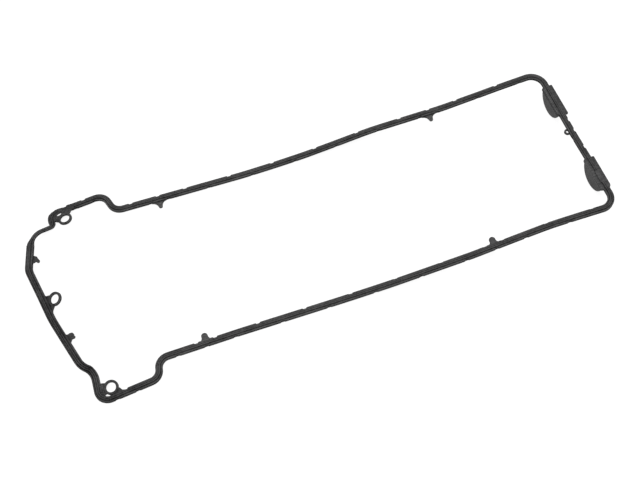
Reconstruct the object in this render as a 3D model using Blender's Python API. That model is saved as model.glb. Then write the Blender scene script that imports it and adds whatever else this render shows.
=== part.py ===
# Valve cover gasket for one bank of a twin-cam engine, moulded in one piece from black rubber.
# The seal is a foot with a tongue on top, which presses into the cover's groove. It runs once round
# the cover: two long sides, a rear end with two half-moon plugs for the camshaft bores, and a wider
# front end that steps up on to the timing case. The part is modelled as it lies on a flat surface.
# Frame: X runs along the engine, front at -X and rear at +X, Y across it, Z up.
import math

import bmesh
import bpy
from mathutils import Matrix, Vector

MM = 0.001

# Driving dimensions, in millimetres
SIDE_Y = 77.7                 # seal centre line of the long sides, from the middle
SIDE_BEND_RADIUS = 300.0
FAR_BOW = ((190.0, 0.8), (150.0, -0.7), (78.0, 1.7), (10.0, -1.0), (-50.0, -2.0), (-115.0, -0.8))
NEAR_BOW = ((-100.0, -1.6), (-30.0, -0.9), (40.0, 0.3), (115.0, 0.8), (190.0, -1.4))
REAR_X = 255.3                # seal centre line of the rear end
REAR_FAR_Y, REAR_NEAR_Y = 82.1, -77.2
REAR_CORNER_RADIUS = 13.0
STEP_HEIGHT = 9.0             # the timing case stands this much above the head
FRONT_CORNER_RADIUS = 8.5
FRONT_BEND_RADIUS = 130.0
JOG_RADIUS = 10.0
FRONT_SCALE = 1.08            # the raised front is a heavier seal
STRAND_SCALE = 0.76           # and a slimmer one where it drops to the far front corner
NECK_SCALE = 0.74             # or passes the slot of the far lug
FRONT_LEAN = 14.0             # degrees that the raised front leans outwards

FOOT_HALF_WIDTH = 2.95
FOOT_HEIGHT = 1.3
TONGUE_HALF_WIDTH = 1.5
LIP_HALF_WIDTH = 2.9
SEAL_HEIGHT = 4.5

# Places where the grip lips stop and start again: along the sides, and across the rear end.
# They change sides, and there is one opposite each tab.
GAP_LENGTH = 3.4
OUTER_GAPS_X = (209.0, 165.5, 137.0, 108.0, 65.0, 22.0, -21.0, -63.5, -106.0, -132.0, -157.5,
                -197.5, -215.5)
INNER_GAPS_X = (232.5, 187.5, 144.5, 127.5, 85.5, 42.5, 0.5, -42.0, -84.5, -122.9, -139.8,
                -188.5, -206.5)
OUTER_GAPS_Y = (-11.0, 9.0, 21.5)
INNER_GAPS_Y = (1.0,)

TAB_PLACES = ((-132.0, 77.4), (136.8, 77.6), (-131.2, -76.4), (136.8, -78.0))

PLUG_RADIUS = 16.8
PLUG_THICKNESS = 8.8
PLUG_CENTRE = 3.8             # height of the bore's axis above the seal's underside
CAP_BOTTOM, CAP_TOP = 1.4, 3.6
CAP_OVERHANG = 0.9            # the cap stands out over the plug's two faces
PLUG_Y = (46.5, -41.6)        # camshaft bores, far and near
PLUG_X = 254.9

LUG_HOLE_RADIUS = 4.2
LUG_OUTER_RADIUS = 5.9
WEB_BOTTOM = 0.25
WEB_TOP = 1.75
REAR_LIFT = PLUG_RADIUS - PLUG_CENTRE
LIFT_FROM_X = -35.0           # the sides lie flat up to here and then climb to the plugs
LIFT_TO_X = 225.0

MERGE_DISTANCE = 0.004

NAME = "valve_cover_gasket"


def clear_scene():
    """Remove whatever the file opened with."""
    for obj in list(bpy.data.objects):
        bpy.data.objects.remove(obj, do_unlink=True)


def make_collection(name):
    """A collection under the scene."""
    collection = bpy.data.collections.new(name)
    bpy.context.scene.collection.children.link(collection)
    return collection


def rubber():
    """Matt black moulded rubber."""
    material = bpy.data.materials.new("black_rubber")
    material.use_nodes = True
    surface = material.node_tree.nodes["Principled BSDF"]
    surface.inputs["Base Color"].default_value = (0.042, 0.042, 0.043, 1.0)
    surface.inputs["Roughness"].default_value = 0.55
    surface.inputs["Metallic"].default_value = 0.0
    return material


def add_mesh(name, mesh, collection):
    """Link a mesh as an object."""
    obj = bpy.data.objects.new(name, mesh)
    collection.objects.link(obj)
    return obj


def filleted_loop(corners, arc_step=14.0, run_step=21.0):
    """Points of a closed 3-D route through corners (x, y, z, radius), each corner rounded by an arc
    that touches both of its runs. Straight runs are split into steps, so that they can bend."""
    points = []
    count = len(corners)
    places = [Vector(corner[:3]) for corner in corners]
    for i, (here, radius) in enumerate(zip(places, [corner[3] for corner in corners])):
        arrive = (here - places[i - 1]).normalized()
        leave = (places[(i + 1) % count] - here).normalized()
        turn = arrive.angle(leave)
        reach = radius * math.tan(turn / 2)
        side = (leave - arrive * arrive.dot(leave)).normalized()
        start = here - arrive * reach
        steps = math.ceil(math.degrees(turn) / arc_step)
        if points:
            points += split_run(points[-1], start, run_step)
        for k in range(steps + 1):
            angle = turn * k / steps
            along = arrive * radius * math.sin(angle)
            points.append(start + along + side * radius * (1 - math.cos(angle)))
    return points + split_run(points[-1], points[0], run_step)


def split_run(start, end, step):
    """The points between the two ends of a straight run."""
    pieces = max(1, round((end - start).length / step))
    return [start.lerp(end, k / pieces) for k in range(1, pieces)]


def route():
    """The seal's centre line, from the rear far corner round the front and back. The long sides
    bow in and out by a millimetre or two, as soft rubber lies."""
    top = STEP_HEIGHT
    far_side = [(x, SIDE_Y + bow, 0, SIDE_BEND_RADIUS) for x, bow in FAR_BOW]
    near_side = [(x, -SIDE_Y - bow, 0, SIDE_BEND_RADIUS) for x, bow in NEAR_BOW]
    return filleted_loop([
        (REAR_X, REAR_FAR_Y, 0, REAR_CORNER_RADIUS), *far_side,
        (-173.1, 78.0, 0, JOG_RADIUS),
        (-178.9, 98.1, 0, JOG_RADIUS),
        (-209.0, 95.4, 0, 40.0),
        (-230.3, 95.8, 0, 9.0),
        (-229.9, 81.5, 0, 5.0),
        (-248.8, 73.0, top, 20.0),
        (-258.2, 38.2, top, 14.0),
        (-253.5, 11.5, top, FRONT_BEND_RADIUS),
        (-249.1, -15.2, top, FRONT_BEND_RADIUS),
        (-235.6, -64.2, top, 9.5),
        (-227.9, -69.7, 0, 11.5),
        (-229.3, -98.1, 0, FRONT_CORNER_RADIUS),
        (-176.9, -93.4, 0, JOG_RADIUS),
        (-174.4, -76.5, 0, JOG_RADIUS), *near_side,
        (REAR_X + 0.9, REAR_NEAR_Y, 0, REAR_CORNER_RADIUS),
        (REAR_X - 0.6, 4.0, 0, SIDE_BEND_RADIUS),
    ])


def seal_section():
    """Outline of the seal, across and up: a foot with two sealing beads below, a waist, and a
    tongue whose lips grip the groove."""
    half = [
        (0.0, 0.45), (1.0, 0.0), (2.3, 0.0), (FOOT_HALF_WIDTH, 0.5), (FOOT_HALF_WIDTH, FOOT_HEIGHT),
        (TONGUE_HALF_WIDTH, 1.8), (TONGUE_HALF_WIDTH, 2.4), (LIP_HALF_WIDTH, 3.0),
        (LIP_HALF_WIDTH - 0.15, 3.4), (TONGUE_HALF_WIDTH - 0.1, 3.9), (1.0, SEAL_HEIGHT),
    ]
    return half + [(-x, z) for x, z in reversed(half[1:])]


def poly_curve(name, points, collection, cyclic=True, flat=True):
    """A curve object with straight pieces between its points, given in millimetres."""
    curve = bpy.data.curves.new(name, "CURVE")
    curve.dimensions = "2D" if flat else "3D"
    spline = curve.splines.new("POLY")
    spline.points.add(len(points) - 1)
    for target, point in zip(spline.points, points):
        place = [value * MM for value in point] + [0.0] * (3 - len(point))
        target.co = (*place, 1.0)
    spline.use_cyclic_u = cyclic
    obj = bpy.data.objects.new(name, curve)
    collection.objects.link(obj)
    return obj


def to_mesh(obj, collection):
    """Replace a curve object by the closed mesh that it draws."""
    bpy.context.view_layer.update()
    depsgraph = bpy.context.evaluated_depsgraph_get()
    mesh = bpy.data.meshes.new_from_object(obj.evaluated_get(depsgraph), depsgraph=depsgraph)
    name, matrix = obj.name, obj.matrix_world.copy()
    bpy.data.objects.remove(obj, do_unlink=True)
    work = bmesh.new()
    work.from_mesh(mesh)
    bmesh.ops.remove_doubles(work, verts=work.verts, dist=0.00001)
    bmesh.ops.recalc_face_normals(work, faces=work.faces)
    work.transform(matrix)
    work.to_mesh(mesh)
    work.free()
    return add_mesh(name, mesh, collection)


def seal_scale(point):
    """Size of the seal along its route: heavier on the raised front, and slimmer past the slot of
    the far lug and midway down to the far front corner."""
    if point.x < -216 and point.y > 92.5:
        return NECK_SCALE
    if point.y > 0 and 0.5 < point.z < STEP_HEIGHT - 0.1:
        return STRAND_SCALE
    if point.z > STEP_HEIGHT - 0.1 or (point.x < -226 and point.y < 0):
        return FRONT_SCALE
    return 1.0


def make_seal(collection):
    """Sweep the section round the route. The raised front leans outwards."""
    points = route()
    rail = poly_curve("seal", [tuple(point) for point in points], collection, flat=False)
    section = poly_curve("seal_section", seal_section(), collection)
    rail.data.twist_mode = "Z_UP"
    rail.data.bevel_mode = "OBJECT"
    rail.data.bevel_object = section
    for target, point in zip(rail.data.splines[0].points, points):
        target.radius = seal_scale(point)
        target.tilt = math.radians(FRONT_LEAN) * point.z / STEP_HEIGHT
    seal = to_mesh(rail, collection)
    bpy.data.objects.remove(section, do_unlink=True)
    return seal


def plate(name, outline, bottom, top, collection, matrix=None):
    """A flat piece: an outline in millimetres, filled and given thickness from bottom to top."""
    obj = poly_curve(name, outline, collection)
    obj.data.fill_mode = "BOTH"
    obj.data.extrude = (top - bottom) / 2 * MM
    lift = Matrix.Translation((0, 0, (bottom + top) / 2 * MM))
    obj.matrix_world = (matrix or Matrix()) @ lift
    return to_mesh(obj, collection)


def circle(x, y, radius, sides):
    """Points round a circle."""
    turn = 2 * math.pi / sides
    return [(x + radius * math.cos(i * turn), y + radius * math.sin(i * turn)) for i in range(sides)]


def locating_tabs(collection):
    """Four tabs with hollow flanks and a blunt end, on the inner side of the long runs."""
    flank = [(7.8, -1.2), (7.2, -2.9), (4.9, -3.7), (3.5, -4.7), (2.5, -6.2), (1.95, -7.9),
             (1.65, -9.2), (0.9, -9.9)]
    outline = flank + [(-x, y) for x, y in reversed(flank)]
    tabs = []
    for x, y in TAB_PLACES:
        turned = Matrix.Rotation(0 if y > 0 else math.pi, 4, "Z")
        place = Matrix.Translation((x * MM, y * MM, 0)) @ turned
        tabs.append(plate("tab", outline, WEB_BOTTOM, WEB_TOP, collection, place))
    return tabs


def tilted(x, y, z, lean_x, lean_y):
    """Place for a lug whose face leans: its hole's centre, and how far its normal points sideways."""
    normal = Vector((lean_x, lean_y, 1.0)).normalized()
    turned = Vector((0, 0, 1)).rotation_difference(normal).to_matrix().to_4x4()
    return Matrix.Translation(Vector((x, y, z)) * MM) @ turned


def lug(name, place, web, slot, collection):
    """A bolt lug: a ring on a thin web. Returns the solids to add and the holes to cut."""
    ring = plate(name + "_ring", circle(0, 0, LUG_OUTER_RADIUS, 32), -0.9, 1.5, collection, place)
    sheet = plate(name + "_web", web, -0.75, 0.75, collection, place)
    holes = [plate(name + "_hole", circle(0, 0, LUG_HOLE_RADIUS, 30), -6, 6, collection, place)]
    if slot:
        holes.append(plate(name + "_slot", slot, -6, 6, collection, place))
    return [ring, sheet], holes


def oval(x, y, half_length, half_width, degrees, sides=16):
    """Points round an ellipse that is turned by an angle."""
    turn = math.radians(degrees)
    points = []
    for px, py in circle(0, 0, 1, sides):
        a, b = px * half_length, py * half_width
        points.append((x + a * math.cos(turn) - b * math.sin(turn),
                       y + a * math.sin(turn) + b * math.cos(turn)))
    return points


def front_lugs(collection):
    """The three bolt lugs of the front end, with their webs and the slots behind two of them."""
    solids, holes = [], []
    parts = [
        lug("far_lug", tilted(-217.6, 83.4, 4.6, -0.12, 0.16),
            [(-10.5, 1.8), (-3.4, -3.9), (0.3, -0.4), (4.4, 2.6), (6.0, 5.6), (7.4, 8.2), (10.5, 9.9),
             (10.0, 13.2), (-7.5, 11.0), (-10.8, 8.0)],
            oval(-4.4, 7.6, 2.5, 1.3, 12), collection),
        lug("middle_lug", tilted(-242.7, 1.9, 14.0, -0.42, -0.04),
            [(-9.6, 9.4), (-7.4, 6.4), (-4.6, 5.2), (0.0, 5.4), (0.0, -5.6), (-2.4, -6.4),
             (-4.8, -9.2), (-5.4, -12.4), (-8.2, -11.0)],
            None, collection),
        lug("near_lug", tilted(-217.6, -88.2, 3.2, -0.1, -0.14),
            [(-10.8, 9.0), (-9.0, 6.6), (-5.6, 5.2), (-0.6, 4.9), (4.3, 0.6), (6.2, -3.4), (8.0, -5.6),
             (11.0, -7.2), (8.4, -9.4), (-8.4, -9.0), (-10.6, -5.0)],
            oval(-4.6, -5.9, 2.5, 1.7, 14), collection),
    ]
    for added, cut in parts:
        solids += added
        holes += cut
    return solids, holes


def front_hooks(collection):
    """Two small hooked tabs on the inner side of the raised front."""
    upper = [(-256.5, 51.6), (-251.6, 51.4), (-249.6, 50.0), (-249.1, 47.6), (-248.3, 45.6),
             (-248.9, 44.5), (-250.6, 46.2), (-252.8, 45.0), (-255.6, 44.8)]
    lower = [(-245.0, -29.0), (-240.8, -32.6), (-238.4, -31.8), (-236.2, -31.9), (-235.0, -33.8),
             (-235.2, -35.2), (-234.4, -36.4), (-235.2, -37.8), (-237.6, -38.0), (-240.2, -42.4)]
    bottom, top = STEP_HEIGHT + WEB_BOTTOM, STEP_HEIGHT + WEB_TOP
    return [plate("upper_hook", upper, bottom, top, collection),
            plate("lower_hook", lower, bottom, top, collection)]


def rear_eyelet(collection):
    """The small eyelet on the inner side of the rear end."""
    x, y = 251.4, 10.1
    ring = plate("eyelet", circle(x, y, 2.7, 20), WEB_BOTTOM, 2.3, collection)
    hole = plate("eyelet_hole", circle(x, y, 1.4, 16), -3, 6, collection)
    return ring, hole


def half_moon_plug(y, collection, cutters):
    """A half disc that hangs below the seal. Its rim has two raised beads, so it is turned as a
    whole disc about X, and its upper half is cut away. A flat cap joins it to the seal."""
    half = PLUG_THICKNESS / 2
    rim = PLUG_RADIUS - 0.5
    profile = [(-half, 0.0), (-half, rim - 0.4), (-half + 0.5, PLUG_RADIUS),
               (-half + 1.6, PLUG_RADIUS), (-half + 2.2, rim), (half - 2.2, rim),
               (half - 1.6, PLUG_RADIUS), (half - 0.5, PLUG_RADIUS), (half, rim - 0.4), (half, 0.0)]
    work = bmesh.new()
    verts = [work.verts.new((x * MM, 0, r * MM)) for x, r in profile]
    edges = [work.edges.new(pair) for pair in zip(verts, verts[1:])]
    bmesh.ops.spin(work, geom=verts + edges, cent=(0, 0, 0), axis=(1, 0, 0),
                   angle=2 * math.pi, steps=56)
    bmesh.ops.remove_doubles(work, verts=work.verts, dist=0.00001)
    bmesh.ops.recalc_face_normals(work, faces=work.faces)
    mesh = bpy.data.meshes.new("plug")
    work.to_mesh(mesh)
    work.free()
    disc = add_mesh("plug", mesh, collection)
    disc.location = (PLUG_X * MM, y * MM, PLUG_CENTRE * MM)
    cut = plate("plug_cut", [(PLUG_X - 9, y - 20), (PLUG_X + 9, y - 20), (PLUG_X + 9, y + 20),
                             (PLUG_X - 9, y + 20)], PLUG_CENTRE - 0.6, PLUG_CENTRE + 20, cutters)
    combine(disc, [cut], "DIFFERENCE")
    x0, x1, reach = PLUG_X - half - CAP_OVERHANG, PLUG_X + half + CAP_OVERHANG, PLUG_RADIUS + 1.5
    corner = 1.2
    cap = [(x0, y - reach + corner), (x0 + corner, y - reach), (x1 - corner, y - reach),
           (x1, y - reach + corner), (x1, y + reach - corner), (x1 - corner, y + reach),
           (x0 + corner, y + reach), (x0, y + reach - corner)]
    return [disc, plate("plug_cap", cap, CAP_BOTTOM, CAP_TOP, collection)]


def combine(body, others, operation):
    """Add solids to a body, or cut them from it, one Boolean at a time. Each leaves a few needle
    faces where surfaces nearly meet, so corners that lie together are merged before the next."""
    for other in others:
        modifier = body.modifiers.new(other.name, "BOOLEAN")
        modifier.operation = operation
        modifier.solver = "EXACT"
        modifier.object = other
        bpy.context.view_layer.update()
        depsgraph = bpy.context.evaluated_depsgraph_get()
        mesh = bpy.data.meshes.new_from_object(body.evaluated_get(depsgraph), depsgraph=depsgraph)
        body.modifiers.clear()
        work = bmesh.new()
        work.from_mesh(mesh)
        bmesh.ops.remove_doubles(work, verts=work.verts, dist=MERGE_DISTANCE * MM)
        bmesh.ops.dissolve_degenerate(work, edges=work.edges, dist=MERGE_DISTANCE * MM)
        work.to_mesh(mesh)
        work.free()
        body.data = mesh
        bpy.data.objects.remove(other, do_unlink=True)


def crossings(axis, value):
    """Where the route passes a value of X or Y: the places, and the directions along the route."""
    points = route()
    found = []
    for start, end in zip(points, points[1:] + points[:1]):
        span = end[axis] - start[axis]
        if abs(span) > 0.5 * (end - start).length and 0 <= (value - start[axis]) / span < 1:
            found.append((start.lerp(end, (value - start[axis]) / span), (end - start).normalized()))
    return found


def lip_gaps():
    """Each gap as its place, the direction along the route, and the side: 1 is outside."""
    gaps = []
    for places, axis, side in ((OUTER_GAPS_X, 0, 1), (INNER_GAPS_X, 0, -1),
                               (OUTER_GAPS_Y, 1, 1), (INNER_GAPS_Y, 1, -1)):
        for value in places:
            gaps += [(place, along, side) for place, along in crossings(axis, value)
                     if place.z == 0 and (axis == 0 or place.x > 0)]
    return gaps


def gap_cutters(nearest, bottom, top, cutters):
    """Blocks that cut away what stands out beyond a distance from the centre line, at each gap."""
    blocks = []
    for middle, along, side in lip_gaps():
        across = Vector((along.y, -along.x, 0.0)) * side
        a, near, far = along * GAP_LENGTH / 2, across * nearest, across * (FOOT_HALF_WIDTH + 0.6)
        outline = [middle - a + near, middle + a + near, middle + a + far, middle - a + far]
        blocks.append(plate("lip_gap", [tuple(p[:2]) for p in outline], bottom, top, cutters))
    return join(blocks)


def join(objects):
    """One object that holds the meshes of several, each still a body of its own."""
    work = bmesh.new()
    for obj in objects:
        mesh = obj.data.copy()
        mesh.transform(obj.matrix_world)
        work.from_mesh(mesh)
    mesh = bpy.data.meshes.new(objects[0].name)
    work.to_mesh(mesh)
    work.free()
    collection = objects[0].users_collection[0]
    for obj in objects:
        bpy.data.objects.remove(obj, do_unlink=True)
    return add_mesh("joined", mesh, collection)


def lie_down(mesh):
    """Let the gasket lie: the rear is carried on its plugs, and the soft sides sag to the surface.
    Then put the middle of its box at the origin."""
    for vert in mesh.vertices:
        t = (vert.co.x / MM - LIFT_FROM_X) / (LIFT_TO_X - LIFT_FROM_X)
        t = min(max(t, 0.0), 1.0)
        vert.co.z += REAR_LIFT * MM * t * t * (3 - 2 * t)
    low = [min(vert.co[axis] for vert in mesh.vertices) for axis in range(3)]
    high = [max(vert.co[axis] for vert in mesh.vertices) for axis in range(3)]
    middle = Vector(((low[0] + high[0]) / 2, (low[1] + high[1]) / 2, low[2]))
    mesh.transform(Matrix.Translation(-middle))


def build():
    """Model the gasket."""
    clear_scene()
    parts = make_collection("valve_cover_gasket_parts")
    cutters = make_collection("cutters")
    body = make_seal(parts)
    lugs, holes = front_lugs(parts)
    eyelet, eyelet_hole = rear_eyelet(parts)
    added = lugs + locating_tabs(parts) + front_hooks(parts) + [eyelet]
    for y in PLUG_Y:
        added += half_moon_plug(y, parts, cutters)
    lips = gap_cutters(TONGUE_HALF_WIDTH + 0.05, 1.95, SEAL_HEIGHT - 0.2, cutters)
    foot_edge = gap_cutters(2.4, -1.0, 2.1, cutters)
    combine(body, [lips, foot_edge], "DIFFERENCE")
    combine(body, added, "UNION")
    combine(body, [join(holes + [eyelet_hole])], "DIFFERENCE")
    lie_down(body.data)
    body.name = NAME
    body.data.materials.clear()
    body.data.materials.append(rubber())
    body.data.shade_smooth()
    body.data.set_sharp_from_angle(angle=math.radians(35))


build()
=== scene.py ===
# %% [markdown]
# # A valve cover gasket, dressed for its portrait
#
# This lesson takes a finished CAD model of a rubber gasket and gives it the fine surface, the
# rubber finish, the light and the camera of a product photograph. The CAD model fixes every size
# and place. The cells below work out the same gasket again as smooth surfaces with numpy, because
# a moulding has rounded edges and soft lips that a light solid model leaves out.

# %% Load the CAD model
import math

import bmesh
import bpy
import numpy as np
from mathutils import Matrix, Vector
from mathutils.geometry import tessellate_polygon


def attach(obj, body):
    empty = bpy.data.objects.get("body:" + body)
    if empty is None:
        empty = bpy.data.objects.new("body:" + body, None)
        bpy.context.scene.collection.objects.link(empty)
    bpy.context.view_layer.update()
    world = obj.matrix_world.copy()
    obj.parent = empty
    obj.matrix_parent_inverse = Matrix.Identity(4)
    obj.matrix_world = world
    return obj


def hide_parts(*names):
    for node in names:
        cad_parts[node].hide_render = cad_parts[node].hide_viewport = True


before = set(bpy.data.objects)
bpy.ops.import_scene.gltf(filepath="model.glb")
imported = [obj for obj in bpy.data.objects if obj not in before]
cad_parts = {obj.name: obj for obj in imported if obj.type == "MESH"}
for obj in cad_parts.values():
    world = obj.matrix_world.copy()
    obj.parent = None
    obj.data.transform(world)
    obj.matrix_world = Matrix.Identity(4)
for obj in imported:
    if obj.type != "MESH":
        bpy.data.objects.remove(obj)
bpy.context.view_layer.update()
NODE = "valve_cover_gasket"

# %% [markdown]
# ## The route of the seal
#
# The gasket is one long seal that comes back to its start. A maker draws it as straight runs with
# a rounded corner between each two. We could place every point of the curve by hand, but corners
# with a radius say the same in a few lines, and they are easy to change. Lengths are in
# millimetres, with X along the engine, Y across it and Z up. The long sides bow a little, as soft
# rubber lies.

# %% The corners of the route
MM = 0.001
MIDDLE = np.array([-0.738, 0.068, 0.0])   # the middle of the whole moulding, in these axes
SIDE_Y = 77.7
SIDE_BEND = 300.0
FAR_BOW = ((190.0, 0.8), (150.0, -0.7), (78.0, 1.7), (10.0, -1.0), (-50.0, -2.0), (-115.0, -0.8))
NEAR_BOW = ((-100.0, -1.6), (-30.0, -0.9), (40.0, 0.3), (115.0, 0.8), (190.0, -1.4))
STEP_HEIGHT = 9.0

CORNERS = np.array([
    (255.3, 82.1, 0, 13.0),
    *[(x, SIDE_Y + bow, 0, SIDE_BEND) for x, bow in FAR_BOW],
    (-173.1, 78.0, 0, 10.0), (-178.9, 98.1, 0, 10.0),
    (-209.0, 95.4, 0, 40.0), (-230.3, 95.8, 0, 9.0), (-229.9, 81.5, 0, 5.0),
    (-248.8, 73.0, STEP_HEIGHT, 20.0), (-258.2, 38.2, STEP_HEIGHT, 14.0),
    (-253.5, 11.5, STEP_HEIGHT, 130.0), (-249.1, -15.2, STEP_HEIGHT, 130.0),
    (-235.6, -64.2, STEP_HEIGHT, 9.5), (-227.9, -69.7, 0, 11.5),
    (-229.3, -98.1, 0, 8.5), (-176.9, -93.4, 0, 10.0), (-174.4, -76.5, 0, 10.0),
    *[(x, -SIDE_Y - bow, 0, SIDE_BEND) for x, bow in NEAR_BOW],
    (256.2, -77.2, 0, 13.0), (254.7, 4.0, 0, SIDE_BEND),
])
print(len(CORNERS), "corners")


# %% Round the corners and walk the route in even steps
def unit(vectors):
    """Each vector divided by its length."""
    return vectors / np.maximum(np.linalg.norm(vectors, axis=-1, keepdims=True), 1e-12)


def rounded_loop(corners, arc_points):
    """A closed route of corners (x, y, z, radius). At each corner, arrive and leave are the unit
    directions of its two runs, and turn is the angle between them. The arc starts at
    corner - arrive * radius * tan(turn / 2), and its point at angle a is
    start + arrive * radius * sin(a) + side * radius * (1 - cos(a)), where side is the direction
    square to arrive on the inner side of the bend."""
    place, radius = corners[:, :3], corners[:, 3:4]
    arrive = unit(place - np.roll(place, 1, axis=0))
    leave = unit(np.roll(place, -1, axis=0) - place)
    cosine = np.clip((arrive * leave).sum(axis=1, keepdims=True), -1, 1)
    turn = np.arccos(cosine)
    side = unit(leave - arrive * cosine)
    start = place - arrive * radius * np.tan(turn / 2)
    angle = (turn * np.linspace(0, 1, arc_points))[..., None]
    arcs = (start[:, None] + arrive[:, None] * radius[..., None] * np.sin(angle)
            + side[:, None] * radius[..., None] * (1 - np.cos(angle)))
    return arcs.reshape(-1, 3)


def even_steps(loop, count):
    """The points at even distances along a closed route, and those distances."""
    closed = np.vstack([loop, loop[:1]])
    walked = np.r_[0, np.cumsum(np.linalg.norm(np.diff(closed, axis=0), axis=1))]
    at = np.linspace(0, walked[-1], count, endpoint=False)
    return np.stack([np.interp(at, walked, closed[:, axis]) for axis in range(3)], axis=1), at


fine, walked = even_steps(rounded_loop(CORNERS, 25), 2700)
print("the seal is", round(walked[-1] + walked[1]), "mm long, in steps of",
      round(walked[1], 2), "mm")

# %% [markdown]
# ## How the gasket lies
#
# On the table the gasket isn't flat. Two half-moon plugs hang under its rear end and hold it up,
# and the soft sides sag from there to the table. One function says how far each point is lifted.
# Every piece goes through it, so everything stays joined.

# %% Lift the rear end on its plugs
PLUG_RADIUS, PLUG_CENTRE = 16.8, 3.8
REAR_LIFT = PLUG_RADIUS - PLUG_CENTRE
LIFT_FROM_X, LIFT_TO_X = -35.0, 225.0


def lie_down(points):
    """Raise points by REAR_LIFT * t * t * (3 - 2 * t), where t goes from 0 to 1 between
    LIFT_FROM_X and LIFT_TO_X, then move the middle of the moulding to the origin, in metres."""
    t = np.clip((points[..., 0] - LIFT_FROM_X) / (LIFT_TO_X - LIFT_FROM_X), 0, 1)
    lifted = points - MIDDLE
    lifted[..., 2] += REAR_LIFT * t * t * (3 - 2 * t)
    return lifted * MM


print("the rear end stands", round(REAR_LIFT, 1), "mm up")

# %% [markdown]
# ## Where the lips stop
#
# Lips on both flanks of the seal hold it in the groove of the cover until the bolts are in. They
# stop and start again, so that the seal can bend without tearing them. The breaks come in turn on
# the outer and the inner flank, and there is one opposite each tab. We mark them as numbers
# between 0 and 1 along the route, one row of numbers for each flank. On the near side, towards
# the rear, the inner breaks are shallow, because the lip leans over them. Beside the near front
# lug there is no inner lip, because the web with its slot takes that place, and a little further
# along the inner lip has no break.

# %% Mark the breaks along the route
OUTER_GAPS_X = [209.0, 165.5, 137.0, 108.0, 65.0, 22.0, -21.0, -63.5, -106.0, -132.0, -157.5,
                -197.5, -215.5]
INNER_GAPS_X = [232.5, 187.5, 144.5, 127.5, 85.5, 42.5, 0.5, -42.0, -84.5, -122.9, -139.8,
                -188.5, -206.5]
OUTER_GAPS_Y, INNER_GAPS_Y = [-11.0, 9.0, 21.5], [1.0]
GAP_LENGTH, GAP_RAMP = 3.4, 0.6
WORN_FROM_X, WORN_TO_X, WORN_DEPTH = -60.0, 60.0, 0.35
NEAR_LUG_X, NEAR_LUG_Y = (-229.0, -213.0), -90.0
UNBROKEN_X = (-198.0, -176.0)
STRAIGHT = 0.8        # a run follows an axis if its unit direction has this much of it
REAR_FROM_X = 240.0

along = unit(np.roll(fine, -1, axis=0) - np.roll(fine, 1, axis=0))
on_side = (np.abs(along[:, 0]) > STRAIGHT) & (fine[:, 2] == 0)
on_rear = (np.abs(along[:, 1]) > STRAIGHT) & (fine[:, 0] > REAR_FROM_X)


def breaks(places_x, places_y):
    """1 in a break and 0 outside it: half the length, plus half a ramp, less the distance to the
    nearest break, divided by the ramp and kept between 0 and 1."""
    def mask(value, places, where):
        nearest = np.abs(value[:, None] - np.array(places)).min(axis=1)
        return np.clip((GAP_LENGTH + GAP_RAMP - 2 * nearest) / (2 * GAP_RAMP), 0, 1) * where
    return np.maximum(mask(fine[:, 0], places_x, on_side), mask(fine[:, 1], places_y, on_rear))


def near_run(x_range, below_y=0.0):
    """Which steps lie between two places along the engine, nearer to us than a line along it."""
    return (fine[:, 0] > x_range[0]) & (fine[:, 0] < x_range[1]) & (fine[:, 1] < below_y)


def count_of(mask):
    """How many separate breaks a row of numbers holds."""
    return int(((mask > 0) & (np.roll(mask, 1) == 0)).sum())


outer_break = breaks(OUTER_GAPS_X, OUTER_GAPS_Y)
inner_break = breaks(INNER_GAPS_X, INNER_GAPS_Y)
worn = np.clip((fine[:, 0] - WORN_FROM_X) / (WORN_TO_X - WORN_FROM_X), 0, 1) * (fine[:, 1] < 0)
inner_break = inner_break * (1 - worn * on_side * (1 - WORN_DEPTH))
inner_break = np.where(near_run(UNBROKEN_X), 0.0, inner_break)
inner_break = np.where(near_run(NEAR_LUG_X, NEAR_LUG_Y), 1.0, inner_break)
print(count_of(outer_break), "breaks on the outer flank,", count_of(inner_break), "on the inner")

# %% [markdown]
# ## Stations, directions and size
#
# A long straight run needs few stations, a bend needs more, and the ends of a lip need most. So
# we keep only some of the fine steps. At each station we need two directions square to the route:
# outward, away from the middle of the gasket, and up. The raised front leans outwards. The seal
# is heavier there, and slimmer where it drops to the far front corner and where it passes a slot.

# %% Choose the stations
SPAN = 3                          # the turn is measured over this many steps on either side
BEND, TIGHT_BEND = 0.03, 0.3      # how much the direction turns there
EVERY, EVERY_IN_BEND, EVERY_IN_TIGHT_BEND = 8, 3, 2

number = np.arange(len(fine))
bend = np.linalg.norm(np.roll(along, -SPAN, axis=0) - np.roll(along, SPAN, axis=0), axis=1)
ramp = sum(np.abs(np.roll(mask, shift) - mask) for mask in (outer_break, inner_break)
           for shift in (-1, 1))
keep = ((number % EVERY == 0) | ((bend > BEND) & (number % EVERY_IN_BEND == 0))
        | ((bend > TIGHT_BEND) & (number % EVERY_IN_TIGHT_BEND == 0)) | (ramp > 0))
route, distance, along = fine[keep], walked[keep], along[keep]
outer_break, inner_break = outer_break[keep], inner_break[keep]
print(len(route), "stations")

# %% Directions and size at each station
FRONT_LEAN = math.radians(14)
FRONT_SCALE, STRAND_SCALE, NECK_SCALE = 1.08, 0.66, 0.74
NECK_X, NECK_Y = -216.0, 92.5      # the neck lies in front of one and beyond the other
CLIMB_FROM, CLIMB_TO = 0.5, STEP_HEIGHT - 0.1
NEAR_CLIMB_X = -226.0              # on the near side the heavier seal begins before the climb
BLUR = 3                           # sizes are averaged over this many stations on either side

outward = unit(np.stack([along[:, 1], -along[:, 0], 0 * along[:, 0]], axis=1))
up = np.cross(outward, along)
lean = FRONT_LEAN * np.clip(route[:, 2:3] / STEP_HEIGHT, 0, 1)
outward, up = (outward * np.cos(lean) - up * np.sin(lean),
               up * np.cos(lean) + outward * np.sin(lean))

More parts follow.
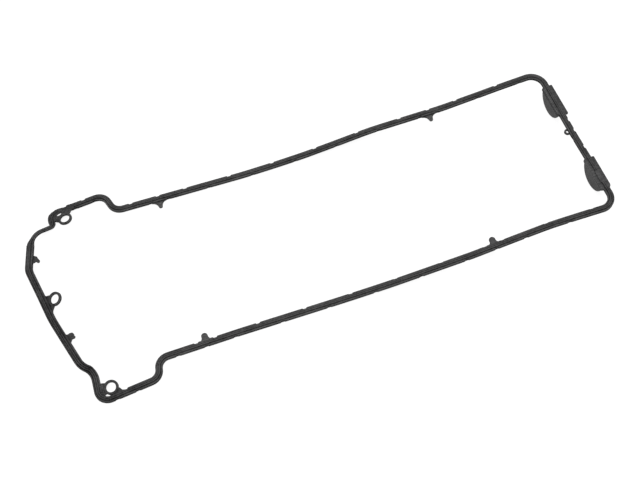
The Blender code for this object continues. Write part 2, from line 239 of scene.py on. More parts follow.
at_x, at_y, at_z = route.T
size = np.select(
    [(at_x < NECK_X) & (at_y > NECK_Y), (at_y > 0) & (at_z > CLIMB_FROM) & (at_z < CLIMB_TO),
     (at_z > CLIMB_TO) | ((at_x < NEAR_CLIMB_X) & (at_y < 0))],
    [NECK_SCALE, STRAND_SCALE, FRONT_SCALE], 1.0)
padded = np.concatenate([size[-BLUR:], size, size[:BLUR]])
size = np.convolve(padded, np.ones(2 * BLUR + 1) / (2 * BLUR + 1), mode="valid")
print("size of the section:", size.min().round(2), "to", size.max().round(2))

# %% [markdown]
# ## The section of the seal
#
# Cut across, the seal shows a foot with two small beads underneath, which press on the cylinder
# head, a waist, a lip on either flank, and a tongue in the middle, which sits in the groove. A
# narrow valley parts the tongue from each lip, and another runs along the tongue itself. From
# above they show as fine dark lines along the seal. In a break, the lip is pulled in, and the
# edge of the foot is cut back a little. We work that out from the whole outline, and blend the
# two at each station, each flank on its own.

# %% The outline, whole and pulled in
SEAL_HEIGHT, WAIST, VALLEY = 4.5, 1.5, 2.8
CUT_LIP, CUT_TOP, CUT_FOOT = 2.2, 3.15, 2.5
OUTER_FOOT, OUTER_LIP = 3.0, 3.1
INNER_FOOT, INNER_LIP = 2.8, 3.2
LIP_FROM = 1.9                     # above this height the section belongs to the lip
KEPT_OUT, KEPT_UP = 0.05, 0.1      # a little of what is cut away stays, so no points meet


def flank(foot, lip):
    """One flank, from the bead under the foot up to the tongue: across, up and corner radius."""
    return [(1.0, 0.0, 0.35), (2.1, 0.0, 0.3), (foot, 0.5, 0.2), (foot, 1.4, 0.15),
            (WAIST, 1.8, 0.25), (WAIST, 2.4, 0.2), (lip, 2.9, 0.1), (lip - 0.15, 3.45, 0.15),
            (1.9, 3.5, 0.15), (WAIST, VALLEY, 0.12), (1.2, 3.6, 0.1), (1.05, SEAL_HEIGHT, 0.2),
            (0.5, SEAL_HEIGHT, 0.15)]


def seal_outline():
    """The hollow under the foot, the outer flank going up, the groove along the tongue, and the
    inner flank, mirrored, coming down."""
    inner = [(-x, z, r) for x, z, r in reversed(flank(INNER_FOOT, INNER_LIP))]
    corners = [(0.0, 0.45, 0.6)] + flank(OUTER_FOOT, OUTER_LIP) + [(0.0, 3.7, 0.1)] + inner
    return rounded_loop(np.array([(x, z, 0, r) for x, z, r in corners]), 3)[:, :2]


def pulled_in(outline):
    """In a break: the lip reaches no further out than CUT_LIP and stands no higher than CUT_TOP,
    and the foot reaches no further than CUT_FOOT."""
    x, z = outline[:, 0], outline[:, 1]
    out = np.abs(x)
    reach = np.where(z > LIP_FROM, CUT_LIP, CUT_FOOT)
    across = np.sign(x) * np.minimum(out, reach + KEPT_OUT * np.maximum(out - reach, 0))
    is_lip = (z > CUT_TOP) & (out > WAIST)
    return np.stack([across, np.where(is_lip, CUT_TOP + KEPT_UP * (z - CUT_TOP), z)], axis=1)


whole_outline = seal_outline()
cut_outline = pulled_in(whole_outline)
print("the outline has", len(whole_outline), "points")


# %% Build the swept surface
def swept_seal():
    """The point of the seal at station s and outline place k is
    route(s) + size(s) * (across(s, k) * outward(s) + rise(s, k) * up(s))."""
    is_outer = whole_outline[:, 0] > 0
    blend = np.where(is_outer, outer_break[:, None], inner_break[:, None])[..., None]
    outline = (whole_outline * (1 - blend) + cut_outline * blend) * size[:, None, None]
    return (route[:, None] + outline[..., 0:1] * outward[:, None]
            + outline[..., 1:2] * up[:, None])


seal_points = swept_seal()
print("seal surface:", seal_points.shape[0], "by", seal_points.shape[1], "points")


# %% [markdown]
# ## From arrays to a mesh
#
# A surface on a grid becomes a mesh once each square of the grid has its four corner numbers. All
# the pieces are collected as plain arrays and become one mesh at the end, since the real gasket
# is one moulding. Each point also carries three notes for the rubber's finish: where it lies
# along and across the flow of the rubber; how far it stands out as a crest that gets rubbed
# paler, or lies in a hollow that gets painted shade; and how pale the rubber is made there, which
# is mostly painted light and shade. The flanks below the lips are kept darker with painted shade
# and the tongue paler with painted light, as they look in the photograph.

# %% Collect the pieces
# Tones of parts: a plain tone for the lugs and the tabs, and painted light on the plugs and the
# strand.
LUG_TONE, TAB_TONE, PLUG_PAINTED_LIGHT, STRAND_PAINTED_LIGHT = -0.5, 0.3, 0.6, 0.3
HOLLOW_SHADE_SHARE = 0.35                    # painted shade: a hollow darkens by this share of a crest's paling
FLANK_PAINTED_SHADE, FLANK_TOP = -0.7, 2.85    # painted shade on the flanks, up to this height
TONGUE_PAINTED_LIGHT, TONGUE_HALF = 0.35, 1.6  # painted light on the tongue, and half its width
TONGUE_FROM = VALLEY - 0.1
RIM_CREST = 0.6
ACROSS_STEP = 0.35                     # mm of flow from one point of the outline to the next
# Painted light and shade along each long run: a place along the engine and a tone, darker towards
# the raised front and a little at the rear end.
FAR_PAINTED_LIGHT = [(-235, -0.6), (-215, -0.4), (-175, -0.2), (-150, 0.0), (220, 0.0), (250, -0.15)]
NEAR_PAINTED_LIGHT = [(-235, -0.6), (-215, -0.5), (-175, -0.1), (-155, 0.3), (-60, 0.15), (220, 0.0),
              (250, -0.15)]
pieces = []


def add_piece(points, faces, flow=None, crest=0.0, pale=0.0):
    """Keep one closed piece: points in millimetres before the gasket lies down, and its faces.
    The note of wear and painted shade and the note of paleness, mostly painted light and shade,
    are one number, or a number for each point."""
    flat = points.reshape(-1, 3)
    flow = flat if flow is None else flow.reshape(-1, 3)
    crest, pale = (np.broadcast_to(note, points.shape[:-1]).ravel() for note in (crest, pale))
    pieces.append((lie_down(flat), faces, flow * MM, crest, pale))


def grid_faces(rows, columns, close_rows=True, close_columns=True):
    """The squares of a grid of points, as a list of four corner numbers each. A closed direction
    joins its last line to its first."""
    number = np.arange(rows * columns).reshape(rows, columns)
    if close_rows:
        number = np.vstack([number, number[:1]])
    if close_columns:
        number = np.hstack([number, number[:, :1]])
    corners = [number[:-1, :-1], number[1:, :-1], number[1:, 1:], number[:-1, 1:]]
    return np.stack(corners, axis=-1).reshape(-1, 4).tolist()


def outline_wear_and_shade(outline):
    """How much each outline point stands out: the sine of the outline's turn there. It is
    positive on a crest, which wears paler, and negative in a hollow, where it is painted shade
    that counts for less."""
    before = unit(outline - np.roll(outline, 1, axis=0))
    after = unit(np.roll(outline, -1, axis=0) - outline)
    turn = before[:, 0] * after[:, 1] - before[:, 1] * after[:, 0]
    return np.where(turn < 0, HOLLOW_SHADE_SHARE * turn, turn)


def painted_light_along(table):
    """The painted light and shade at each station, from pairs of a place along the engine and a
    tone."""
    places, tones = np.array(table).T
    return np.interp(route[:, 0], places, tones)


rows, columns = seal_points.shape[:2]
seal_flow = np.zeros((rows, columns, 3))
seal_flow[..., 0] = distance[:, None]
seal_flow[..., 1] = np.arange(columns) * ACROSS_STEP
# Painted light and shade along the runs.
painted_shading = np.where(route[:, 1] > 0, painted_light_along(FAR_PAINTED_LIGHT), painted_light_along(NEAR_PAINTED_LIGHT))
# The thin strand carries painted light.
painted_shading = np.where(size < STRAND_SCALE + 0.05, STRAND_PAINTED_LIGHT, painted_shading)
below_lip = whole_outline[:, 1] < FLANK_TOP
on_tongue = (np.abs(whole_outline[:, 0]) < TONGUE_HALF) & (whole_outline[:, 1] > TONGUE_FROM)
# Worn crests turn paler; hollows and the flanks below the lips carry painted shade, the tongue
# painted light.
crest = outline_wear_and_shade(whole_outline) + FLANK_PAINTED_SHADE * below_lip + TONGUE_PAINTED_LIGHT * on_tongue
add_piece(seal_points, grid_faces(rows, columns), seal_flow, crest[None, :], painted_shading[:, None])
print("the seal has", len(pieces[0][1]), "squares")

# %% [markdown]
# ## Plates with a shaped rim
#
# The locating tabs, the webs of the lugs, the hooks and even the half-moon plugs are plates: an
# outline with a flat face on either side and a shaped rim between them. One function makes them
# all. It rounds the corners of an outline and carries a rim profile round it. The profile says
# how far in from the outline, and how high, each step of the rim lies. A hole gets the same rim,
# turned inwards. The two flat faces are filled between the rims.

# %% Outlines walked in even steps
def ring_of(outline, step):
    """An outline with rounded corners (x, y, radius), walked in even steps, counterclockwise."""
    corners = np.array([(x, y, 0, r) for x, y, r in outline])
    loop = rounded_loop(corners, 7)
    length = np.linalg.norm(np.roll(loop, -1, axis=0) - loop, axis=1).sum()
    ring = even_steps(loop, max(12, int(length / step)))[0][:, :2]
    following = np.roll(ring, -1, axis=0)
    twice_area = (ring[:, 0] * following[:, 1] - following[:, 0] * ring[:, 1]).sum()
    return ring if twice_area > 0 else ring[::-1]


def soft_rim(bottom, top, radius=0.3, steps=4):
    """How far in, and how high, from the upper face over the rim to the lower face: a quarter
    circle at each edge."""
    a = np.linspace(0, math.pi / 2, steps)
    inset = radius * np.r_[1 - np.sin(a), 1 - np.cos(a)]
    level = np.r_[top - radius * (1 - np.cos(a)), bottom + radius * (1 - np.sin(a))]
    return inset, level


print("a soft rim turns over in", len(soft_rim(0, 1)[0]), "steps")


# %% Make a plate
def plate(outline, rim, hole=None, place=None, step=0.5, pale=0.0):
    """Ring point n at rim step k is outline(n) + inward(n) * inset(k), at height level(k). place
    turns flat coordinates into the gasket's own."""
    inset, level = rim
    steps = len(level)
    points, walls, rings, first = [], [], [], 0
    for corners, sign in [(outline, 1)] + ([(hole, -1)] if hole else []):
        ring = ring_of(corners, step)
        tangent = unit(np.roll(ring, -1, axis=0) - np.roll(ring, 1, axis=0))
        inward = np.stack([-tangent[:, 1], tangent[:, 0]], axis=1) * sign
        flat = ring[None] + inward[None] * inset[:, None, None]
        high = np.broadcast_to(level[:, None, None], (steps, len(ring), 1))
        points.append(np.concatenate([flat, high], axis=-1).reshape(-1, 3))
        walls += (np.array(grid_faces(steps, len(ring), close_rows=False)) + first).tolist()
        rings.append((first, len(ring)))
        first += steps * len(ring)
    points = np.vstack(points)
    lids = []
    for row in (0, steps - 1):
        numbers = [np.arange(start + row * n, start + (row + 1) * n) for start, n in rings]
        joined = np.concatenate(numbers)
        loops = [[Vector((*points[i, :2], 0)) for i in ring] for ring in numbers]
        lids += joined[np.array([list(three) for three in tessellate_polygon(loops)])].tolist()
    crest = np.concatenate([np.repeat(np.sin(np.linspace(0, math.pi, steps)) ** 2, n)
                            for _, n in rings])
    add_piece(points if place is None else place(points), walls + lids,
              crest=crest * RIM_CREST, pale=pale)


print("plate() is ready")

# %% [markdown]
# ## Locating tabs
#
# Four small blunt tabs on the inner side of the long runs locate the gasket on the cover while it
# is fitted. Their flanks are hollow, so each grows out of the seal in a soft curve. The two on
# the near side end in a round knob.

# %% The four tabs
WEB_BOTTOM, WEB_TOP = 0.25, 1.75
TABS = [(-132.0, 77.4), (136.8, 77.6), (-131.2, -76.4), (136.8, -78.0)]
FAR_FLANK = [(7.8, -1.2, 0.3), (7.2, -2.9, 0.5), (4.9, -3.7, 3.0), (3.5, -4.7, 3.0),
             (2.5, -6.2, 4.0), (1.95, -7.9, 6.0), (1.65, -9.2, 0.6), (0.9, -9.9, 0.6)]
NEAR_FLANK = [(7.8, -1.2, 0.3), (7.2, -2.9, 0.5), (4.9, -3.7, 3.0), (3.6, -4.5, 1.5),
              (2.9, -6.0, 1.5), (2.9, -10.3, 2.85)]


def standing_at(x, y, turned=False):
    """A place on the flat: the piece moved to (x, y), and turned by half a turn if asked."""
    sign = -1.0 if turned else 1.0
    return lambda points: points * (sign, sign, 1.0) + (x, y, 0.0)


for tab_x, tab_y in TABS:
    half = FAR_FLANK if tab_y > 0 else NEAR_FLANK
    plate(half + [(-x, y, r) for x, y, r in reversed(half)], soft_rim(WEB_BOTTOM, WEB_TOP),
          place=standing_at(tab_x, tab_y, tab_y < 0), pale=TAB_TONE)
print(len(TABS), "tabs")

# %% [markdown]
# ## Bolt lugs
#
# At the front, three lugs slip over the cover's bolts. Each is a rounded ring on a thin web, and
# two of the webs have a slot that lets them flex. The lugs don't lie level, so each one gets its
# own place: the centre of its hole, and a lean that says how its face tips. A web stops inside
# its ring, on an arc round the hole.


# %% A place for each lug, and turned rings
def leaning_place(x, y, z, lean_x, lean_y):
    """Axes for a face whose normal is (lean_x, lean_y, 1), turned the shortest way from level."""
    normal = Vector((lean_x, lean_y, 1.0)).normalized()
    turned = np.array(Vector((0, 0, 1)).rotation_difference(normal).to_matrix())
    return lambda points: points @ turned.T + (x, y, z)


def turned_ring(inner, outer, bottom, top, place, rounding=0.55, sides=72):
    """A ring with a rounded section: section point k is carried round the axis, so its place is
    (r(k) * cos(a), r(k) * sin(a), z(k))."""
    section = rounded_loop(np.array([
        (inner, bottom, 0, rounding), (outer, bottom, 0, rounding),
        (outer, top, 0, rounding), (inner, top, 0, rounding)]), 6)[:, :2]
    a = np.linspace(0, 2 * math.pi, sides, endpoint=False)[:, None]
    radius, level = section[None, :, 0], section[None, :, 1]
    points = np.stack([radius * np.cos(a), radius * np.sin(a), level + 0 * a], axis=-1)
    add_piece(place(points), grid_faces(sides, len(section)),
              crest=outline_wear_and_shade(section)[None, :], pale=LUG_TONE)


def arc(radius, start, end, steps=18):
    """Corners on a circle, between two angles in degrees, with sharp ends."""
    a = np.radians(np.linspace(start, end, steps))
    soft = np.where((a == a[0]) | (a == a[-1]), 0.1, 1.0)
    return list(zip(radius * np.cos(a), radius * np.sin(a), soft))


def oval(x, y, half_length, half_width, degrees):
    """Corners round an ellipse that is turned by an angle."""
    a = np.linspace(0, 2 * math.pi, 16, endpoint=False)
    p, q, turn = half_length * np.cos(a), half_width * np.sin(a), math.radians(degrees)
    return [(u, v, 0.3) for u, v in zip(x + p * math.cos(turn) - q * math.sin(turn),
                                        y + p * math.sin(turn) + q * math.cos(turn))]


LUG_HOLE, LUG_OUTER, WEB_ARC = 4.2, 6.4, 5.2
print("lug holes are", 2 * LUG_HOLE, "mm wide")

# %% The three lugs
LUGS = [
    (leaning_place(-217.6, 83.4, 4.6, -0.12, 0.16),
     [(-10.5, 1.8, 0.5)] + arc(WEB_ARC, 205, 45)
     + [(6.0, 5.6, 1), (7.4, 8.2, 1.5), (10.5, 9.9, 0.5), (10.0, 13.2, 0.5), (-7.5, 11.0, 0.5),
        (-10.8, 8.0, 0.5)],
     oval(-4.4, 7.6, 2.5, 1.3, 12)),
    (leaning_place(-242.7, 1.9, 14.0, -0.42, -0.04),
     [(-9.6, 9.4, 0.5), (-7.4, 6.6, 1), (-4.6, 5.9, 1)] + arc(WEB_ARC, 112, 248)
     + [(-2.4, -6.4, 1), (-4.8, -9.2, 2), (-5.4, -12.4, 0.5), (-8.2, -11.0, 0.5)],
     None),
    (leaning_place(-217.6, -88.2, 3.2, -0.1, -0.14),
     [(-10.8, 9.0, 0.5), (-9.0, 6.6, 1), (-5.2, 5.7, 1)] + arc(WEB_ARC, 115, 340)
     + [(6.9, -2.6, 1), (8.2, -5.0, 1), (12.6, -6.4, 0.5), (12.0, -9.0, 0.5), (-8.4, -9.0, 0.5),
        (-10.6, -5.0, 0.5)],
     oval(-4.6, -5.9, 2.5, 1.7, 14)),
]
for place, web, slot in LUGS:
    plate(web, soft_rim(-0.75, 0.75), slot, place, pale=LUG_TONE)
    turned_ring(LUG_HOLE, LUG_OUTER, -0.9, 1.5, place)
print(len(LUGS), "lugs")

# %% [markdown]
# ## Hooks and eyelet
#
# The raised front has two small hooks that catch on ribs of the cover, and between the plugs
# there is a little eyelet. They are a few millimetres across, but they make the outline of the
# part.

# %% Two hooks and an eyelet
UPPER_HOOK = [(-256.5, 52.0, 0.5), (-251.4, 51.9, 1), (-249.2, 50.3, 1), (-248.5, 47.8, 0.8),
              (-247.5, 45.6, 0.5), (-248.2, 44.0, 0.5), (-249.8, 43.9, 0.4), (-250.9, 45.6, 0.5),
              (-252.8, 45.0, 1), (-255.6, 44.8, 0.5)]
LOWER_HOOK = [(-245.0, -29.0, 0.5), (-240.8, -32.6, 1), (-238.4, -31.8, 1), (-236.2, -31.9, 0.8),
              (-235.0, -33.8, 0.5), (-235.2, -35.2, 0.3), (-234.4, -36.4, 0.3),
              (-235.2, -37.8, 0.4), (-237.6, -38.0, 1), (-240.2, -42.4, 0.5)]
for hook in (UPPER_HOOK, LOWER_HOOK):
    plate(hook, soft_rim(STEP_HEIGHT + WEB_BOTTOM, STEP_HEIGHT + WEB_TOP), step=0.35,
          pale=LUG_TONE)
turned_ring(1.4, 3.1, WEB_BOTTOM, 2.3, standing_at(251.0, 10.1), rounding=0.4, sides=40)
print("2 hooks and 1 eyelet")

# %% [markdown]
# ## Half-moon plugs
#
# The head has two half-round openings behind the camshafts, and the plugs fill them. Each plug is
# a half disc under the seal, with two beads round its rim. It is a plate that stands on edge, so
# the same function makes it, with a rim profile that has two hills. A cap joins it to the seal
# and stands out a little over both faces. It is built from blocks: a floor, and a higher block
# behind the tongue. On the far plug, a trough is left between the cap's edge and the seal. On the
# near plug, another block fills the cap up to the tongue, and a small saddle fills the grooves of
# the tongue for a short way. The half-moon faces carry painted light, and the far plug's trough
# and the higher block behind the tongue carry painted shade.

# %% The two plugs
PLUG_THICKNESS, PLUG_X, FAR_PLUG_Y, NEAR_PLUG_Y = 8.8, 254.9, 46.5, -41.6
HALF = PLUG_THICKNESS / 2
CAP_IN, CAP_OUT, CAP_REACH = -HALF - 0.9, HALF + 1.5, PLUG_RADIUS + 1.3
CAP_BOTTOM, CAP_FLOOR, CAP_TOP = 1.4, 2.4, 3.6
BEHIND_TONGUE, BEFORE_TONGUE = 1.3, -1.2
SHY = 0.1     # how far the floor of a cap stays inside the walls of the other blocks
SADDLE_SHIFT, SADDLE_HALF, SADDLE_REACH, SADDLE_TOP = -4.4, 1.8, 6.5, SEAL_HEIGHT - 0.05
# Painted shade in the far plug's trough and on the higher block behind the tongue; the filled cap
# is a little paler.
TROUGH_PAINTED_SHADE, FILLED_TONE, OUTER_PAINTED_SHADE = -1.0, 0.1, -0.3
CRISP, EASY, ROUND, WIDE = 0.8, 1.2, 2.5, 4.0     # radii of the corners of blocks


def beaded_rim():
    """From one face to the other: inset and level of the rounded edge, a bead, a valley, a bead
    and the other edge. The first and last corners are sharp, so their points fall together, and
    all but one of each are left out."""
    corners = [(1.3, HALF, 0), (0.9, HALF, 0.4), (0.0, HALF - 0.5, 0.35), (0.0, HALF - 1.6, 0.4),
               (0.5, HALF - 2.2, 0.4)]
    corners += [(inset, -level, radius) for inset, level, radius in reversed(corners)]
    arc_points = 5
    loop = rounded_loop(np.array([(i, l, 0, r) for i, l, r in corners]), arc_points)
    return loop[arc_points - 1:1 - arc_points, :2].T


def on_edge(centre_y):
    """A place for a plate that stands on edge across the engine, centred under the seal."""
    return lambda points: points[:, [2, 0, 1]] + (PLUG_X, centre_y, PLUG_CENTRE)


def block(centre_y, x_range, bottom, top, painted_shading, radii, reach=CAP_REACH):
    """A flat block between two places across the seal, reaching as far on either side of its
    centre, with a rounding radius for each corner, counterclockwise from the near one on the
    inner side."""
    low, high = x_range
    corners = [(low, -reach), (high, -reach), (high, reach), (low, reach)]
    plate([(PLUG_X + across, centre_y + beside, r)
           for (across, beside), r in zip(corners, radii)], soft_rim(bottom, top), pale=painted_shading)


def plug(centre_y, filled):
    """A half-moon plug with its cap."""
    half_moon = [(u, v, 2.0) for u, v, _ in arc(PLUG_RADIUS, 182, 358, 40)]
    # The half-moon's faces carry painted light.
    plate(half_moon, beaded_rim(), place=on_edge(centre_y), step=0.8, pale=PLUG_PAINTED_LIGHT)
    painted_shading, near_end = (FILLED_TONE, WIDE) if filled else (TROUGH_PAINTED_SHADE, CRISP)
    block(centre_y, (CAP_IN + SHY, CAP_OUT - SHY), CAP_BOTTOM - SHY, CAP_FLOOR, painted_shading,
          (ROUND, near_end, CRISP, ROUND), CAP_REACH - SHY)
    block(centre_y, (BEHIND_TONGUE, CAP_OUT), CAP_BOTTOM, CAP_TOP, OUTER_PAINTED_SHADE,
          (CRISP, near_end, CRISP, CRISP))
    if filled:
        block(centre_y, (CAP_IN, BEFORE_TONGUE), CAP_BOTTOM, CAP_TOP, painted_shading,
              (ROUND, CRISP, CRISP, ROUND))
        block(centre_y + SADDLE_SHIFT, (-SADDLE_HALF, SADDLE_HALF), CAP_BOTTOM, SADDLE_TOP, painted_shading,
              (EASY, EASY, EASY, EASY), SADDLE_REACH)


plug(FAR_PLUG_Y, filled=False)
plug(NEAR_PLUG_Y, filled=True)
print(len(pieces), "closed pieces in all")


# %% [markdown]
# ## One mesh
#
# All the arrays go into one mesh, with the three notes as attributes. Every piece is closed.
# Blender makes the faces of a piece agree, but it can turn a whole piece inside out, so the
# volume of each piece is checked. Sharp edges between the flat faces and the rims stay crisp,
# because smooth shading stops at an angle.

# %% Join the arrays into the gasket
CREASE = math.radians(42)


def turn_outwards(mesh):
    """Make the faces of each piece agree, and turn the piece over if its signed volume, a third
    of the sum of centre . normal * area over its faces, is negative."""
    work = bmesh.new()
    work.from_mesh(mesh)
    bmesh.ops.recalc_face_normals(work, faces=work.faces)
    work.faces.ensure_lookup_table()
    first = turned = 0
    for _, faces, *_ in pieces:
        own = work.faces[first:first + len(faces)]
        first += len(faces)
        if sum(f.calc_center_median().dot(f.normal) * f.calc_area() for f in own) < 0:
            bmesh.ops.reverse_faces(work, faces=own)
            turned += 1
    work.to_mesh(mesh)
    work.free()
    print("pieces that were inside out and are turned over:", turned)


def one_mesh(name):
    """The mesh of all collected pieces."""
    counts = np.cumsum([0] + [len(points) for points, *_ in pieces])
    points = np.vstack([piece[0] for piece in pieces])
    faces = [[number + first for number in face]
             for first, piece in zip(counts, pieces) for face in piece[1]]
    mesh = bpy.data.meshes.new(name)
    mesh.from_pydata(points, [], faces)
    flow = mesh.attributes.new("flow", "FLOAT_VECTOR", "POINT")
    flow.data.foreach_set("vector", np.vstack([piece[2] for piece in pieces]).ravel())
    for note_name, place in (("crest", 3), ("pale", 4)):
        note = mesh.attributes.new(note_name, "FLOAT", "POINT")
        note.data.foreach_set("value", np.concatenate([piece[place] for piece in pieces]))
    turn_outwards(mesh)
    mesh.shade_smooth()
    mesh.set_sharp_from_angle(angle=CREASE)
    return mesh


gasket = bpy.data.objects.new("moulded_gasket", one_mesh("moulded_gasket"))
bpy.context.scene.collection.objects.link(gasket)
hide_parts(NODE)
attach(gasket, "root")
print("the gasket has", sum(len(face.vertices) - 2 for face in gasket.data.polygons), "triangles")

# %% [markdown]
# ## Writing shaders as sums
#
# A material is a web of nodes. Long webs are hard to read as calls, so a small class stands for
# one output of a node and lets us write sums and products as Python does. Any other node comes
# from its method add, which first makes the settings and then fills the sockets.


# %% A wire through the nodes
class Wire:
    """One output of a shader node. Arithmetic on wires adds Math nodes."""

    def __init__(self, tree, socket=None):
        self.tree, self.socket = tree, socket

    def add(self, kind, settings=None, sockets=None, output=0):
        """A new node of a kind: settings first, with ramp stops as stops, then its sockets."""
        node = self.tree.nodes.new("ShaderNode" + kind)
        for name, value in (settings or {}).items():
            if name == "stops":
                while len(node.color_ramp.elements) < len(value):
                    node.color_ramp.elements.new(0.5)
                for element, (position, colour) in zip(node.color_ramp.elements, value):
                    element.position, element.color = position, (*colour, 1.0)
            else:
                setattr(node, name, value)
        for name, value in (sockets or {}).items():
            if isinstance(value, Wire):
                self.tree.links.new(value.socket, node.inputs[name])
            else:
                node.inputs[name].default_value = value
        return Wire(self.tree, node.outputs[output] if node.outputs else None)

    def maths(self, operation, first, second=0.0, third=0.0):
        """A Math node."""
        return self.add("Math", {"operation": operation}, {0: first, 1: second, 2: third})

    def __add__(self, other):
        return self.maths("ADD", self, other)

    def __sub__(self, other):
        return self.maths("SUBTRACT", self, other)

    def __rsub__(self, other):
        return self.maths("SUBTRACT", other, self)

    def __mul__(self, other):
        return self.maths("MULTIPLY", self, other)

    def clamp(self, low=0.0, high=1.0):
        """Keep the value between low and high."""
        return self.maths("MINIMUM", self.maths("MAXIMUM", self, low), high)

    __radd__, __rmul__ = __add__, __mul__


def new_material(name):
    """A material with an empty tree, and a wire to start from."""
    material = bpy.data.materials.new(name)
    material.use_nodes = True
    material.node_tree.nodes.clear()
    return material, Wire(material.node_tree)


print("wires are ready")

# %% [markdown]
# ## Rubber
#
# Moulded rubber is nearly black and matt. Close up it is never even: the surface is mottled where
# the release agent dried, faint lines follow the flow of the rubber along the seal, and crests
# that rub on the table turn a little grey. Each of those is a small change of colour, roughness
# or height. The notes on the mesh add painted shade in hollows and on the flanks below the lips,
# and painted light and shade along the runs, on the plugs, the strand and the caps.

# %% The rubber finish
BASE_DARK = (0.008, 0.0080, 0.0083)
BASE_PALE = (0.062, 0.0617, 0.0620)
MIDDLE_SHADE = 0.37                                # where the rubber lies from dark to pale
MOTTLE_SHADE, BLOOM_SHADE, STREAK_SHADE = 1.1, 1.3, 1.8
# The weight of worn crests with painted shade, and of the paleness note, which is mostly painted
# light and shade.
WEAR_AND_SHADE_WEIGHT, PALE_SHADE = 0.35, 0.4
MATT, LEAST_MATT, MOST_MATT = 0.56, 0.4, 0.75      # roughness


def rubber_material():
    """Noise at three sizes, streaks along the flow, paler worn crests with painted shade in
    hollows, and the painted light and shade of the mesh's notes. Noise runs from 0 to 1, so a
    half is taken off wherever it should lighten as often as darken."""
    material, wire = new_material("black_rubber_finish")
    place = wire.add("TexCoord", output=3)
    flow = wire.add("Attribute", {"attribute_name": "flow"}, output=1)
    crest = wire.add("Attribute", {"attribute_name": "crest"}, output=2)
    pale = wire.add("Attribute", {"attribute_name": "pale"}, output=2)
    mottle = wire.add("TexNoise", sockets={"Vector": place, "Scale": 110.0, "Detail": 3.0,
                                           "Roughness": 0.55})
    bloom = wire.add("TexNoise", sockets={"Vector": place, "Scale": 480.0, "Detail": 2.0})
    grain = wire.add("TexNoise", sockets={"Vector": place, "Scale": 2600.0, "Detail": 2.0})
    stretched = wire.add("Mapping", sockets={"Vector": flow, "Scale": (40.0, 1500.0, 1500.0)})
    streaks = wire.add("TexNoise", sockets={"Vector": stretched, "Scale": 1.0, "Detail": 2.0})
    # The crest note adds wear and painted shade, and the pale note adds painted light and shade.
    shade = (MIDDLE_SHADE + (mottle - 0.5) * MOTTLE_SHADE + (bloom - 0.5) * BLOOM_SHADE
             + (streaks - 0.5) * STREAK_SHADE + crest * WEAR_AND_SHADE_WEIGHT + pale * PALE_SHADE).clamp()
    colour = wire.add("ValToRGB", {"stops": [(0.0, BASE_DARK), (1.0, BASE_PALE)]}, {"Fac": shade})
    roughness = (MATT + (mottle - 0.5) * 0.16 + (bloom - 0.5) * 0.12
                 - crest * 0.05).clamp(LEAST_MATT, MOST_MATT)
    relief = grain * 0.5 + bloom * 0.3 + streaks * 0.35
    bump = wire.add("Bump", sockets={"Strength": 0.35, "Distance": 0.00012, "Height": relief})
    surface = wire.add("BsdfPrincipled", sockets={
        "Base Color": colour, "Roughness": roughness, "Normal": bump,
        "Specular IOR Level": 0.22})
    wire.add("OutputMaterial", sockets={"Surface": surface})
    return material


gasket.data.materials.clear()
gasket.data.materials.append(rubber_material())
print("finish:", gasket.data.materials[0].name)

# %% [markdown]
# ## The white stage
#
# A catalogue picture has a pure white ground. We get it from the floor's own colour as the camera
# sees it, and not from stronger lamps, which would wash out the rubber. Light Path tells the
# floor and the world who is looking. Part of the floor's white stays an ordinary matt surface, so
# the gasket keeps a faint shadow.


# %% Floor and world
def seen_directly(wire):
    """1 for the camera, for reflections and through glass, and 0 for plain bounced light."""
    seen = [wire.add("LightPath", output=name) for name in
            ("Is Camera Ray", "Is Glossy Ray", "Is Transmission Ray")]
    return (seen[0] + seen[1] + seen[2]).clamp()


def floor_material():
    """Bounced light meets a pale matt floor. The eye meets a glow with a little of it added."""
    material, wire = new_material("white_floor")
    matt = wire.add("BsdfDiffuse", sockets={"Color": (0.72, 0.72, 0.72, 1.0)})
    veil = wire.add("BsdfDiffuse", sockets={"Color": (0.16, 0.16, 0.16, 1.0)})
    glow = wire.add("Emission", sockets={"Color": (1.0, 1.0, 1.0, 1.0), "Strength": 0.9})
    bright = wire.add("AddShader", sockets={0: veil, 1: glow})
    mixed = wire.add("MixShader", sockets={0: seen_directly(wire), 1: matt, 2: bright})
    wire.add("OutputMaterial", sockets={"Surface": mixed})
    return material


FLOOR_SIZE, FLOOR_LEVEL = 8.0, -0.0003     # just below the gasket, so no faces fall together
bpy.ops.mesh.primitive_plane_add(size=FLOOR_SIZE, location=(0.0, 0.0, FLOOR_LEVEL))
floor = bpy.context.object
floor.name = "studio_floor"
floor.data.materials.append(floor_material())

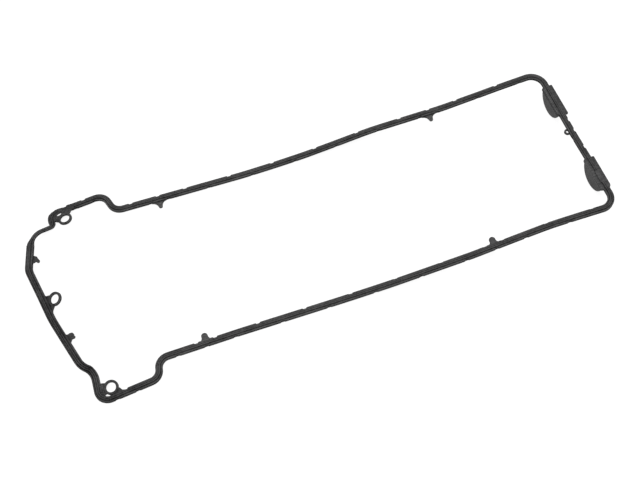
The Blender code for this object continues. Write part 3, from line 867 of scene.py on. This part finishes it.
world = bpy.data.worlds.new("studio_world")
bpy.context.scene.world = world
world.use_nodes = True
world.node_tree.nodes.clear()
sky = Wire(world.node_tree)
soft = sky.add("Background", sockets={"Color": (1.0, 0.99, 0.99, 1.0), "Strength": 0.5})
white = sky.add("Background", sockets={"Color": (1.0, 1.0, 1.0, 1.0), "Strength": 1.0})
sky.add("OutputWorld", sockets={"Surface": sky.add(
    "MixShader", sockets={0: seen_directly(sky), 1: soft, 2: white})})
print("stage is set")

# %% [markdown]
# ## Light and camera
#
# Two broad lamps hang high over the gasket, one to the left and one behind it, and the world
# fills the rest. They light the flat tops and leave the flanks that face us dark, which draws a
# fine line along the seal, as in the photograph. The camera looks down from the near left, where
# the photographer stood.


# %% Lamp and camera
def area_lamp(name, place, target, size, power):
    """A square lamp that faces a target."""
    lamp = bpy.data.lights.new(name, "AREA")
    lamp.size, lamp.energy = size, power
    obj = bpy.data.objects.new(name, lamp)
    obj.location = place
    obj.rotation_euler = (Vector(target) - Vector(place)).to_track_quat("-Z", "Y").to_euler()
    bpy.context.scene.collection.objects.link(obj)


GASKET_MIDDLE = (0.0, 0.0, 0.0)
area_lamp("key_lamp", (-0.7, -0.3, 1.7), GASKET_MIDDLE, size=1.2, power=16.0)
area_lamp("top_lamp", (0.5, 0.7, 1.8), GASKET_MIDDLE, size=1.4, power=24.0)

AZIMUTH, ELEVATION = math.radians(19.768), math.radians(60.97)
CAMERA_PLACE = Vector((-153.47, -426.04, 790.39)) * MM
FOCAL_PIXELS, IMAGE_WIDTH, SENSOR_WIDTH = 999.0, 640, 36.0
look = Vector((math.sin(AZIMUTH) * math.cos(ELEVATION), math.cos(AZIMUTH) * math.cos(ELEVATION),
               -math.sin(ELEVATION)))
camera_data = bpy.data.cameras.new("photo_camera")
camera_data.sensor_width = SENSOR_WIDTH
camera_data.lens = FOCAL_PIXELS / IMAGE_WIDTH * SENSOR_WIDTH
camera = bpy.data.objects.new("photo_camera", camera_data)
camera.location = CAMERA_PLACE
camera.rotation_euler = look.to_track_quat("-Z", "Y").to_euler()
bpy.context.scene.collection.objects.link(camera)
bpy.context.scene.camera = camera
bpy.context.scene.view_settings.view_transform = "Standard"
print("lens:", round(camera_data.lens, 1), "mm")

# %% [markdown]
# ## Finish
#
# The last line brings the view layer up to date. The dressed gasket has to fill the same box as
# the CAD model.

# %% Finish
bpy.context.view_layer.update()
